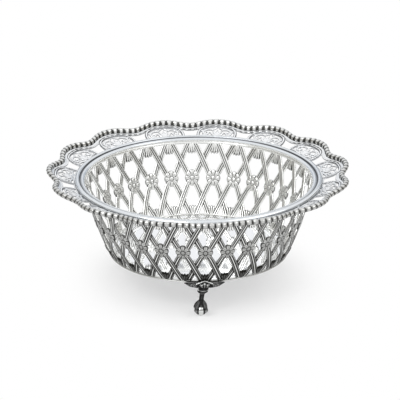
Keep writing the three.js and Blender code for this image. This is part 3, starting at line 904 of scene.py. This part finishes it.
def upright_leg():
    """The cast leg before it leans: shaft with its collar, palm, ball and four talons."""
    shape = Shape()
    shape.turned([(radius, level, 0.0) for radius, level in LEG_PROFILE], LEG_STEPS)
    latitudes = np.radians(np.linspace(-90, 90, 25))
    ball_levels = np.maximum(BALL_LEVEL + BALL_RADIUS * np.sin(latitudes), 0.0)
    ball_rows = np.stack([BALL_RADIUS * np.cos(latitudes), ball_levels, 0 * latitudes], -1)
    shape.turned(ball_rows, LEG_STEPS)
    line = smooth_line(TALON_LINE, 29)
    for talon in range(TALONS):
        around = (talon + 0.5) * FULL_TURN / TALONS
        spine = at_angle(line[:, 0] * BALL_RADIUS, around, BALL_LEVEL + line[:, 1] * BALL_RADIUS)
        add_tube(shape, spine, line[:, 2])
    return shape


def add_block(shape):
    """The head of the casting behind the crest, with two steps like a small capital."""
    middle = BLOCK_FRONT - LEG_RADIUS - BLOCK_STEPS[0][1]
    for wide, deep, low, high in BLOCK_STEPS:
        square = ((-wide, -deep), (wide, -deep), (wide, deep), (-wide, deep))
        corners = np.array([(x, middle + y, z) for z in (low, high) for x, y in square])
        faces = [(0, 1, 2, 3), (7, 6, 5, 4), (0, 4, 5, 1), (1, 5, 6, 2), (2, 6, 7, 3), (3, 7, 4, 0)]
        shape.add(corners + (BLOCK_SHIFT, LEG_RADIUS, 0.0), faces, 0.0)


def fused(shape):
    """Joins overlapping closed parts into one smoothed skin. Gives points in millimetres and faces."""
    mesh = to_mesh("fusing", shape)
    solid = new_object("fusing", mesh)
    remesh = solid.modifiers.new("fuse", "REMESH")
    remesh.mode = "VOXEL"
    remesh.voxel_size = CAST_VOXEL * MM
    soften = solid.modifiers.new("soften", "SMOOTH")
    soften.iterations = CAST_SOFTENING
    held = solid.evaluated_get(bpy.context.evaluated_depsgraph_get()).to_mesh()
    points = np.empty(len(held.vertices) * 3)
    held.vertices.foreach_get("co", points)
    faces = [tuple(face.vertices) for face in held.polygons]
    bpy.data.objects.remove(solid)
    bpy.data.meshes.remove(mesh)
    return points.reshape(-1, 3) / MM, faces


def hollow_tone(points, faces):
    """From -1 on sharp ridges to 1 in hollows: how far a point lies under its neighbours' mean."""
    quads = np.array([face for face in faces if len(face) == 4])
    start, end = quads.ravel(), np.roll(quads, -1, axis=1).ravel()
    count = np.bincount(start, minlength=len(points)) + np.bincount(end, minlength=len(points))
    count = np.maximum(count, 1)

    def spread(values):
        total = np.bincount(start, values[end], len(points))
        total += np.bincount(end, values[start], len(points))
        return total / count

    corner = points[quads]
    facing = np.cross(corner[:, 2] - corner[:, 0], corner[:, 3] - corner[:, 1])
    normal = np.zeros_like(points)
    for k in range(4):
        np.add.at(normal, quads[:, k], facing)
    normal /= np.maximum(np.linalg.norm(normal, axis=1), 1e-9)[:, None]
    mean = np.stack([spread(points[:, k]) for k in range(3)], -1)
    depth = np.einsum("ij,ij->i", mean - points, normal)
    for _ in range(HOLLOW_ROUNDS):
        depth = spread(depth)
    return np.clip(depth / HOLLOW_DEPTH, -1, 1)


def leg_casting():
    """Leg and block as one skin with its tones, drawn with x round the bowl and y outward."""
    shape = upright_leg()
    for i, points in enumerate(shape.points):
        x, y = leg_shift(points[:, 2])
        shape.points[i] = points + np.stack([x, y, 0 * x], -1)
    add_block(shape)
    points, faces = fused(shape)
    points[:, 2] = np.maximum(points[:, 2], 0.0)
    level = points[:, 2]
    x, y = leg_shift(level)
    from_ball = np.linalg.norm(points - np.stack([x, y, BALL_LEVEL + 0 * x], -1), axis=1) - BALL_RADIUS
    on_ball = smoothstep(0.6, 0.15, from_ball)
    around = np.arctan2(points[:, 1] - y, points[:, 0] - x) * TALONS / FULL_TURN
    from_talon = np.degrees(np.abs(around - 0.5 - np.round(around - 0.5)) * FULL_TURN / TALONS)
    talon_shade = smoothstep(*TALON_FADE, from_talon) * smoothstep(1.4, 2.8, level)
    palm_shade = hump(level, PALM_LEVEL, 0.4)
    step_edge = hump(level, STEP_LEVEL, 0.35)
    collar_low, collar_high = COLLAR_SPAN
    collar = smoothstep(collar_low, collar_low + 0.3, level)
    collar = collar * smoothstep(collar_high, collar_high - 0.3, level)
    cast = 1.0 + HOLLOW_TONE * hollow_tone(points, faces)
    cast += COLLAR_TONE * collar - STEP_POLISH * step_edge
    shade = TALON_SHADE * np.maximum(talon_shade, palm_shade)
    skin = Shape()
    skin.add(points, faces, np.clip(cast * (1 - on_ball) + shade * on_ball, 0, 1))
    return skin


def at_foot(drawing, number):
    """A copy of a shape, drawn with x round the bowl and y outward, at one of the feet."""
    turn = FRONT - math.pi / 2 + (number - 1) * FULL_TURN / FEET
    x, y, z = np.concatenate(drawing.points).T
    turned_x = x * math.cos(turn) - y * math.sin(turn)
    turned_y = x * math.sin(turn) + y * math.cos(turn)
    copy = Shape()
    copy.add(np.stack([turned_x, turned_y, z], -1), drawing.faces, np.concatenate(drawing.tones))
    return copy


# The crests


def on_crest(x, z, depth):
    """Bends a drawing point round the base band. Above the band it leans out with the wall."""
    lean = np.maximum(0, np.interp(z, curve_height, curve_radius) + SEAM_GAP - CREST_INNER)
    radius = CREST_INNER + lean + depth
    angle = x / CREST_INNER
    return np.stack([radius * np.sin(angle), radius * np.cos(angle), z + 0 * angle], -1)


def crest_plate():
    """The apron: a fan under the pediment and a scrolled wing each way, in relief."""
    shape = Shape()
    x = np.linspace(-1, 1, 97)[:, None] * WING
    reach = np.abs(x) / WING
    peak = np.clip((EAVE - np.abs(x)) / EAVE, 0, 1)
    top = WING_TOP + (ROOF_PEAK - WING_TOP) * peak
    scallops = CREST_SCALLOPS * np.abs(np.sin(reach * 9)) * (reach < 0.97)
    low = FOOT_HEIGHT - CREST_DEPTH * (1 - reach**3.5) + scallops
    share = np.linspace(0, 1, 25)[None, :]
    z = low + (top - low) * share
    fan = np.abs(np.cos(np.arctan2(x, z - FAN_ROOT) * FAN_RIBS)) ** 1.4
    fan = fan * smoothstep(*FAN_FADE, np.hypot(x, (z - FAN_MIDDLE) * 1.1))
    scroll_x, scroll_z = np.abs(x) - SCROLL_PLACE, z - SCROLL_LEVEL
    from_scroll = np.hypot(scroll_x, scroll_z)
    scroll = np.abs(np.cos(from_scroll * 1.7 - np.arctan2(scroll_z, scroll_x) * 0.5))
    scroll = scroll * smoothstep(*SCROLL_FADE, from_scroll)
    leaf = np.abs(np.cos((z - low) / np.maximum(top - low, 0.2) * 2.5 * math.pi))
    leaf = leaf * smoothstep(6.5, 8.0, np.abs(x)) * smoothstep(0.2, 1.4, from_scroll) * 0.8
    height = CREST_BODY + CREST_RELIEF * np.maximum.reduce([fan, scroll, leaf])
    from_edge = np.minimum(share, 1 - share) * (top - low)
    height = height - CREST_ROUNDING * smoothstep(CREST_ROUNDING, 0.0, from_edge)
    tone = np.clip(CREST_GROUND_TONE - CREST_POLISH * (height - 0.8) / 0.95, 0, 1)
    front = on_crest(x + 0 * z, z, height)
    back = on_crest(x + 0 * z, z, 0 * z)
    shape.skin(front, back, tone, np.ones_like(tone))
    return shape


def add_crest_moulding(shape):
    """The raised chevron along the pediment's roof, and three beads under it."""
    x = np.linspace(-1, 1, 41)[:, None] * (EAVE + 0.3)
    roof = ROOF_PEAK - (ROOF_PEAK - WING_TOP) * np.abs(x) / EAVE
    turn = np.radians(np.linspace(-90, 90, 9))[None, :]
    z = roof - CHEVRON_DROP + CHEVRON_HALF_WIDTH * np.sin(turn)
    ends = z[:, [-1, 0]]
    front = on_crest(x + 0 * z, z, CHEVRON_BED + CHEVRON_RELIEF * np.cos(turn))
    back = on_crest(x + 0 * ends, ends, 0.4)
    tone = np.broadcast_to(0.25 * (np.abs(turn) > 1.2), z.shape)
    shape.loft(np.concatenate([front, back], axis=1), np.concatenate([tone, 0 * ends + 1], axis=1))
    latitudes = np.linspace(-math.pi / 2, math.pi / 2, 9)
    turns = even_angles(BEAD_SIDES)
    for place, level, radius in BEADS:
        ring = radius * np.cos(latitudes)
        bead_x = place + np.outer(np.cos(turns), ring)
        bead_z = level + np.outer(np.sin(turns), ring)
        depth = BEAD_BED + radius * np.sin(latitudes)
        shape.loft(on_crest(bead_x, bead_z, depth), 0.0, ring=True)


# Materials


def empty_material(name):
    """A new material and its node tree, which holds a Principled shader and the output."""
    material = bpy.data.materials.new(name)
    material.use_nodes = True
    return material, material.node_tree


def add_node(tree, kind, **values):
    """A node with values for its own settings and its inputs, some of them other nodes' outputs."""
    made = tree.nodes.new("ShaderNode" + kind)
    for key, value in values.items():
        if hasattr(made, key):
            setattr(made, key, value)
        else:
            feed(tree, made.inputs[key.replace("_", " ")], value)
    return made


def feed(tree, socket, value):
    """Links another node's output to a socket, or sets the socket to a plain value."""
    if isinstance(value, bpy.types.NodeSocket):
        tree.links.new(value, socket)
    else:
        socket.default_value = value


def maths(tree, operation, *values, kind="Math", output=0):
    """The output of a maths node over plain values and other nodes' outputs."""
    made = add_node(tree, kind, operation=operation)
    for socket, value in zip(made.inputs, values):
        feed(tree, socket, value)
    return made.outputs[output]


def smooth_range(tree, value, **ends):
    """A node's output brought smoothly from one range to another."""
    made = add_node(tree, "MapRange", interpolation_type="SMOOTHSTEP", Value=value, **ends)
    return made.outputs["Result"]


CLOUD_SHARE = 0.16  # of a fine cloud that is added to the tones
BRIGHT_TONE = 0.1  # up to which metal is fully bright
LINE_CORE = 0.16  # half width of an engraved line's dark middle
LINE_EDGE = 0.42  # from its middle to where it ends
GRAIN_HEIGHT = 0.0002  # in metres


def silver(name, bright, dark, roughness, grain, uneven=0.05, lined=False):
    """Polished silver whose cuts hold dark oxide and which takes painted shade, both by the tone on its
    points.

    lined adds the two lines engraved along an arch."""
    material, tree = empty_material(name)
    shader = tree.nodes["Principled BSDF"]
    shader.inputs["Metallic"].default_value = 1.0
    place = add_node(tree, "TexCoord").outputs["Object"]
    tone = add_node(tree, "Attribute", attribute_name="tone").outputs["Fac"]
    cloud = add_node(tree, "TexNoise", Vector=place, Scale=grain, Detail=4.0)
    tone = maths(tree, "MULTIPLY_ADD", cloud.outputs["Fac"], CLOUD_SHARE, tone)
    if lined:
        arch = add_node(tree, "Attribute", attribute_name="arch").outputs["Fac"]
        from_middle = maths(tree, "ABSOLUTE", arch)
        aside = maths(tree, "SUBTRACT", from_middle, ARCH_LINE)
        from_line = maths(tree, "ABSOLUTE", aside)
        line = smooth_range(tree, from_line, From_Min=LINE_EDGE, From_Max=LINE_CORE)
        tone = maths(tree, "MAXIMUM", tone, line)
    level = smooth_range(tree, tone, From_Min=BRIGHT_TONE)
    colour = add_node(tree, "Mix", data_type="RGBA", Factor=level, A=(*bright, 1), B=(*dark, 1))
    polished, oxidised = roughness
    rough = add_node(tree, "MapRange", Value=level, To_Min=polished, To_Max=oxidised)
    fine = add_node(tree, "TexNoise", Vector=place, Scale=grain * 6, Detail=3.0)
    bump = add_node(tree, "Bump", Strength=uneven, Distance=GRAIN_HEIGHT, Height=fine.outputs["Fac"])
    tree.links.new(colour.outputs["Result"], shader.inputs["Base Color"])
    tree.links.new(rough.outputs["Result"], shader.inputs["Roughness"])
    tree.links.new(bump.outputs["Normal"], shader.inputs["Normal"])
    return material


# Colours at full tone. The blue, warm and black ones are both oxide and painted shade
GREY_OXIDE = (0.1, 0.105, 0.115)
BLUE_OXIDE_AND_SHADE = (0.07, 0.075, 0.085)
WARM_OXIDE_AND_SHADE = (0.025, 0.025, 0.022)
BLACK_OXIDE_AND_SHADE = (0.02, 0.02, 0.02)
bright_silver = silver("bright_silver", (0.76, 0.79, 0.82), GREY_OXIDE, (0.16, 0.45), 160)
border_silver = silver("border_silver", (0.92, 0.935, 0.95), BLUE_OXIDE_AND_SHADE, (0.2, 0.45), 160, lined=True)
floor_silver = silver("floor_silver", (0.95, 0.955, 0.96), GREY_OXIDE, (0.05, 0.3), 20, uneven=0.03)
chased_silver = silver("chased_silver", (0.9, 0.905, 0.89), WARM_OXIDE_AND_SHADE, (0.2, 0.4), 220)
dark_silver = silver("dark_silver", (0.7, 0.71, 0.7), BLACK_OXIDE_AND_SHADE, (0.22, 0.42), 300)

# The pieces

WALL_PIECES = (
    ("bars_climbing_right", trellis_bars(1), CREASED),
    ("bars_climbing_left", trellis_bars(-1), CREASED),
    ("wall_strips", wall_strips(), CREASED),
    ("rosettes", rosettes(), ROUNDED),
    ("husks", husks(), ROUNDED),
)
for name, shape, sharp in WALL_PIECES:
    add_piece(name, shape, chased_silver, "chased_silver", "basket_wall", sharp=sharp)
add_piece("base_band_turned", base_band(), chased_silver, "chased_silver", "base_band")
add_piece("floor_disc", floor_plate(), floor_silver, "bright_silver", "floor_plate")
add_piece("ring_wires", moulding_ring(), bright_silver, "bright_silver", "moulding_ring")
border_shape, arch_places = border()
add_piece("border_sheet", border_shape, border_silver, "bright_silver", "border", arch=arch_places)
add_piece("gadroon_wire", gadroon_edge(), chased_silver, "chased_silver", "gadroon_edge", sharp=ROUNDED)

leg = leg_casting()
crest = crest_plate()
add_crest_moulding(crest)
for number in range(1, FEET + 1):
    own_leg, leg_node = at_foot(leg, number), f"foot_leg_{number}"
    add_piece(f"leg_casting_{number}", own_leg, dark_silver, "dark_silver", leg_node, sharp=ROUNDED)
    own_crest, crest_node = at_foot(crest, number), f"foot_crest_{number}"
    add_piece(f"crest_relief_{number}", own_crest, dark_silver, "dark_silver", crest_node)

# The studio, in metres

MODEL_MIDDLE = Vector((0.0, 0.0, 0.0806))
CAMERA_AIM = MODEL_MIDDLE + Vector((0.0013, 0, 0))
CAMERA_AZIMUTH = math.radians(-3.7)
CAMERA_ELEVATION = math.radians(21.0)
CAMERA_DISTANCE = 2.9
CAMERA_LENS = 280
GROUND_WHITE = (0.96, 0.96, 0.96, 1)
SHADE_OVAL = (1.2, 0.86, 1.0)  # how the shade's oval is stretched into a circle
SHADE_CORE = 0.07  # radius of the shade's darkest part
SHADE_EDGE = 0.175
SHADE_GLOW = 0.38  # share of white in its darkest part
WARM_GREY = (0.4, 0.385, 0.35)
# Name, place, size and colour
CARDS = (
    ("side_card_left", (-1.6, 0.1, 0.42), (2.6, 0.9), WARM_GREY),
    ("side_card_right", (1.6, 0.1, 0.42), (2.6, 0.9), WARM_GREY),
    ("back_card", (-0.05, 1.9, 0.5), (0.6, 0.9), (0.93, 0.94, 0.96)),
    ("back_card_left", (-0.85, 1.85, 0.5), (0.95, 0.9), (0.7, 0.73, 0.77)),
    ("back_card_right", (0.75, 1.85, 0.5), (0.95, 0.9), (0.6, 0.63, 0.67)),
)
# Name, size, power and place
LAMPS = (
    ("key", 1.2, 12, (-0.9, -1.0, 1.6)),
    ("fill", 1.6, 6, (1.2, -0.6, 1.4)),
)


def white_ground():
    """A pale floor, white where it is open to the sky. Camera and metal see its shade softened."""
    bpy.ops.mesh.primitive_plane_add(size=12, location=(0, 0, 0))
    ground = bpy.context.object
    ground.name = "ground"
    material, tree = empty_material("ground")
    shader = tree.nodes["Principled BSDF"]
    shader.inputs["Base Color"].default_value = GROUND_WHITE
    shader.inputs["Roughness"].default_value = 0.9
    shader.inputs["Specular IOR Level"].default_value = 0.0
    glow = add_node(tree, "Emission")
    path = add_node(tree, "LightPath")
    place = add_node(tree, "TexCoord").outputs["Object"]
    oval = maths(tree, "MULTIPLY", place, SHADE_OVAL, kind="VectorMath")
    reach = maths(tree, "LENGTH", oval, kind="VectorMath", output="Value")
    fade = smooth_range(tree, reach, From_Min=SHADE_CORE, From_Max=SHADE_EDGE, To_Min=SHADE_GLOW)
    seen = path.outputs["Is Camera Ray"]
    for ray in ("Is Glossy Ray", "Is Transmission Ray"):
        seen = maths(tree, "MAXIMUM", seen, path.outputs[ray])
    share = maths(tree, "MULTIPLY", seen, fade)
    blend = add_node(tree, "MixShader", Fac=share)
    tree.links.new(shader.outputs["BSDF"], blend.inputs[1])
    tree.links.new(glow.outputs["Emission"], blend.inputs[2])
    tree.links.new(blend.outputs["Shader"], tree.nodes["Material Output"].inputs["Surface"])
    ground.data.materials.append(material)


def card(name, place, size, colour):
    """A toned studio card that only reflections see."""
    bpy.ops.mesh.primitive_plane_add(size=1)
    board = bpy.context.object
    board.name = name
    board.scale = (*size, 1)
    board.location = place
    board.rotation_euler = (MODEL_MIDDLE - Vector(place)).to_track_quat("Z", "Y").to_euler()
    material, tree = empty_material(name)
    tree.nodes.remove(tree.nodes["Principled BSDF"])
    glow = add_node(tree, "Emission", Color=(*colour, 1))
    tree.links.new(glow.outputs["Emission"], tree.nodes["Material Output"].inputs["Surface"])
    board.data.materials.append(material)
    board.visible_camera = False
    board.visible_diffuse = False
    board.visible_shadow = False


def lamp(name, size, power, place):
    data = bpy.data.lights.new(name, "AREA")
    data.shape = "DISK"
    data.size = size
    data.energy = power
    light = new_object(name, data)
    light.location = place
    light.rotation_euler = (MODEL_MIDDLE - Vector(place)).to_track_quat("-Z", "Y").to_euler()


def sky():
    world = bpy.data.worlds.new("studio")
    bpy.context.scene.world = world
    world.use_nodes = True
    back = world.node_tree.nodes["Background"]
    back.inputs["Color"].default_value = (1, 1, 1, 1)
    back.inputs["Strength"].default_value = 1.0


def camera():
    data = bpy.data.cameras.new("camera")
    data.lens = CAMERA_LENS
    data.clip_end = 50
    eye = new_object("camera", data)
    level = math.cos(CAMERA_ELEVATION)
    back = Vector((
        math.sin(CAMERA_AZIMUTH) * level,
        -math.cos(CAMERA_AZIMUTH) * level,
        math.sin(CAMERA_ELEVATION),
    ))
    eye.location = CAMERA_AIM + back * CAMERA_DISTANCE
    eye.rotation_euler = (-back).to_track_quat("-Z", "Y").to_euler()
    bpy.context.scene.camera = eye


sky()
white_ground()
for row in CARDS:
    card(*row)
for row in LAMPS:
    lamp(*row)
camera()
bpy.context.scene.view_settings.view_transform = "Standard"
